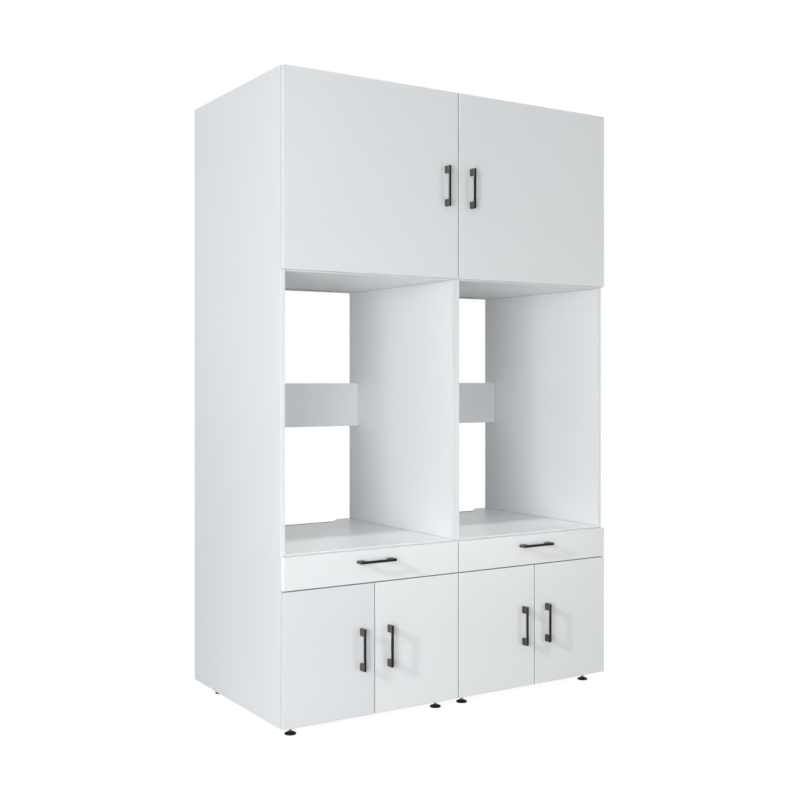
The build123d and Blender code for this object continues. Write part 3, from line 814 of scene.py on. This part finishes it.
def make_slide_fittings():
    """Screws in the slide members, and the ball cages that run with the middle members."""
    slide_low, slide_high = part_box("cabinet_slides")
    middle_z = (slide_low.z + slide_high.z) / 2
    web = 1.2 * MM
    drawer_face = 12.7 * MM
    cabinet_places, drawer_places = (0.035, 0.227, 0.419), (0.060, 0.252, 0.440)
    end_gap, ball_pitch = 0.006, 0.012
    strip_half, strip_thickness = 2.3, 0.5
    # Outer and inner races: across and rise in millimetres, start and end along the slide in metres
    runs = ((5.3, 15.4, 0.400, 0.485), (8.0, 12.4, 0.012, 0.097))
    ball = turned([(0.0, -0.8), (0.46, -0.65), (0.75, -0.28), (0.75, 0.28), (0.46, 0.65), (0.0, 0.8)], 8)
    on_carcass = []
    for tower in TOWERS:
        on_drawer, cages, balls = [], [], []
        for face_x, inward in inner_faces(tower):
            out = ACROSS * inward
            for along in cabinet_places:
                spot = Vector((face_x + inward * web, slide_low.y + along, middle_z))
                on_carcass.append((LOW_HEAD, aim(spot, out, 50 * along + face_x)))
            for along in drawer_places:
                spot = Vector((face_x + inward * (drawer_face - web), slide_low.y + along, middle_z))
                on_drawer.append((LOW_HEAD, aim(spot, -out, 40 * along + face_x)))
            for across, rise, start, end in runs:
                for side in (-1, 1):
                    x = face_x + inward * across * MM
                    z = middle_z + side * rise * MM
                    first, last = slide_low.y + start + end_gap, slide_low.y + end - end_gap
                    for y in even_row(first, last, ball_pitch):
                        balls.append((ball, aim(Vector((x, y, z)), UP)))
                    strip = [(-strip_half, start / MM), (strip_half, start / MM),
                             (strip_half, end / MM), (-strip_half, end / MM)]
                    cage = prism(strip, -strip_thickness / 2, strip_thickness / 2)
                    cages.append((cage, Matrix.Translation((x, slide_low.y, z))))
        body = tower + "_middle_slide_pair"
        add_piece(tower + "_drawer_slide_screws", on_drawer, "zinc_steel", tower + "_drawer")
        add_piece(tower + "_ball_cages", cages, "zinc_steel", body)
        add_piece(tower + "_slide_balls", balls, "nickel_steel", body)
    add_piece("cabinet_slide_screws", on_carcass, "zinc_steel", "carcass")


def make_drawer_screws():
    """The screws that hold the sides of each drawer box to its back board."""
    rise, inset = 0.009, 0.006
    for tower in TOWERS:
        low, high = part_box(tower + "_drawer_boards")
        placed = []
        for x, way in ((low.x, -1), (high.x, 1)):
            for z in (low.z + rise, high.z - rise):
                placed.append((LOW_HEAD, aim(Vector((x, high.y - inset, z)), ACROSS * way, 90 * z)))
        add_piece(tower + "_drawer_box_screws", placed, "zinc_steel", tower + "_drawer")


def lit_group(name, endings):
    """The nodes and pieces that a linked lamp lights, by the endings of their names."""
    group = bpy.data.collections.new(name)
    for thing in bpy.context.scene.objects:
        if thing.type == "MESH" and thing.name.endswith(endings):
            group.objects.link(thing)
    return group


def make_far_lamp(name, heading, size, power, endings, glossy=False):
    """A far lamp, seen from the lower front in a given direction, that lights only some pieces."""
    target = Vector((0.0, DOOR_FACE, 0.4))
    distance = 12.0
    place = target + Vector(heading).normalized() * distance
    make_lamp(name, place, target, size, power, WARM_LIGHT, lit_group(name, endings), glossy)


# The whole scene

make_camera()
make_world(SKY_GLOWS, SKY_COLOUR)
make_floor()
dress_nodes()
make_feet()
make_hinge_screws()
make_handle_screws()
make_bumpers()
make_cam_locks()
make_joining_bolts()
make_back_sheets()
make_shelf_pins()
make_slide_fittings()
make_drawer_screws()

# Lamps: place or heading, aim, size in metres, power in watts, colour, and what they light
REAR_LIT = ("_eased", "_rails", "_nails", "_locks", "_moulded", "_threaded", "_top_panel",
            "_bottom_panel", "_divider", "_ceiling", "_boards")
SIDE_LIT = ("_side", "right_upper_door_panel", "right_outer_door_panel", "right_drawer_front",
            "_moulded", "_threaded", "_eased", "right_top_panel")
TOP_LIT = ("_top_panel", "_side", "_upper_door_panel", "_boards", "_drawer_bottom", "_drawer_front")
GRAZED = ("_drawer_front", "_inner_door_panel", "right_outer_door_panel")
LOW_LEFT = (-0.885, -0.20, 0.42)
LEFT = (-0.91, 0.0, 0.41)
ABOVE = (-0.12, -0.278, 0.95)
AHEAD = (-0.30, -1.0, 0.25)
MIDDLE = (0.0, -0.3, 1.0)
LOW_MIDDLE = (0.0, -0.3, 0.6)
make_far_lamp("grazing_lamp", LOW_LEFT, 0.40, 640.0, GRAZED)
make_far_lamp("edge_lamp", LOW_LEFT, 0.85, 120.0, ("_upper_door_panel", "left_outer_door_panel"))
make_far_lamp("handle_lamp", LEFT, 0.85, 8000.0, ("_handle",), True)
make_far_lamp("bay_lamp", ABOVE, 1.0, 400.0, ("_bay_floor",))
make_far_lamp("rail_lamp", AHEAD, 1.6, 90.0, ("back_rails", "_bay_ceiling"))
make_lamp("key_lamp", (-4.5, -3.8, 1.2), MIDDLE, 2.0, 110.0, COOL_LIGHT)
make_lamp("low_fill", (-2.4, -2.2, 0.5), LOW_MIDDLE, 1.2, 20.0, WHITE_LIGHT)
make_lamp("side_fill", (-4.5, -0.6, 1.6), (-0.6, 0.0, 1.1), 2.0, 12.0, BLUE_LIGHT)
make_lamp("right_fill", (2.0, -3.2, 0.4), (0.1, -0.3, 0.6), 1.3, 19.0, WARM_LIGHT, None, True)
make_lamp("rear_fill", (0.6, 6.0, 1.8), (0.0, 0.4, 1.0), 2.5, 165.0, WHITE_LIGHT,
          lit_group("rear_lit", REAR_LIT))
make_lamp("far_side_fill", (5.2, 2.6, 1.6), (0.6, 0.0, 1.0), 2.5, 150.0, WHITE_LIGHT,
          lit_group("side_lit", SIDE_LIT))
make_lamp("top_fill", (0.0, 0.0, 7.0), (0.0, 0.0, 2.0), 1.5, 85.0, WHITE_LIGHT,
          lit_group("top_lit", TOP_LIT))

bpy.context.scene.view_settings.view_transform = "Standard"
